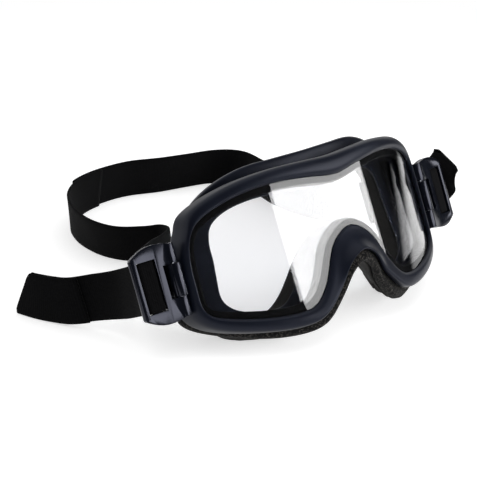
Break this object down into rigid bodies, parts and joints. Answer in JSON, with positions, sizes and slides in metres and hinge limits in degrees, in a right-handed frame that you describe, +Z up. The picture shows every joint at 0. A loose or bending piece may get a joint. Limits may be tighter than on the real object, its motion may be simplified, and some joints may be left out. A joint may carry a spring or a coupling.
{
  "type": "protective goggles",
  "caption": "Wide full-seal protective goggles with wrapped double lens, vented soft frame, face foam, hinged strap outriggers and an elastic head strap.",
  "frame": {"origin": "middle of the footprint of the goggles and their strap, on the table they stand on", "axes": "+X across the face towards the wearer's left, +Y from the lens towards the back of the strap, +Z up"},
  "size_m": [0.2464, 0.2306, 0.0866],
  "materials": {
    "frame_tpu": "satin moulded soft elastomer",
    "nylon": "satin moulded nylon",
    "lens_clear": "clear polished polycarbonate",
    "spacer_foam": "matte black gasket",
    "filter_foam": "open-cell foam",
    "face_foam": "soft closed-cell foam",
    "lining_fabric": "brushed knitted facing",
    "pin_steel": "drawn steel wire",
    "strap_elastic": "woven elastic webbing"
  },
  "bodies": {
    "goggles": {"frame_shell": "frame_tpu", "outer_lens": "lens_clear", "inner_lens": "lens_clear", "lens_spacer": "spacer_foam", "vent_filter_top": "filter_foam", "vent_filter_bottom": "filter_foam", "face_foam": "face_foam", "face_lining": "lining_fabric", "hinge_base_left": "nylon", "hinge_base_right": "nylon", "strap_side_left": "strap_elastic", "strap_back_left": "strap_elastic", "strap_tail_left": "strap_elastic", "strap_side_right": "strap_elastic", "strap_back_right": "strap_elastic", "strap_tail_right": "strap_elastic", "strap_hem_left": "strap_elastic"},
    "left_outrigger": {"outrigger_left": "nylon", "hinge_pin_left": "pin_steel", "strap_wrap_left": "strap_elastic"},
    "right_outrigger": {"outrigger_right": "nylon", "hinge_pin_right": "pin_steel", "strap_wrap_right": "strap_elastic"}
  },
  "joints": [
    {"name": "left_hinge", "type": "hinge", "parent": "goggles", "child": "left_outrigger", "pos_m": [-0.08642, -0.0708, 0.03868], "axis": [0, -0.4147, -0.91], "range_deg": [-20, 45], "deforming": ["strap_side_left", "strap_tail_left", "strap_hem_left"]},
    {"name": "right_hinge", "type": "hinge", "parent": "goggles", "child": "right_outrigger", "pos_m": [0.08478, -0.0708, 0.03868], "axis": [0, 0.4147, 0.91], "range_deg": [-20, 45], "deforming": ["strap_side_right", "strap_tail_right"]}
  ]
}
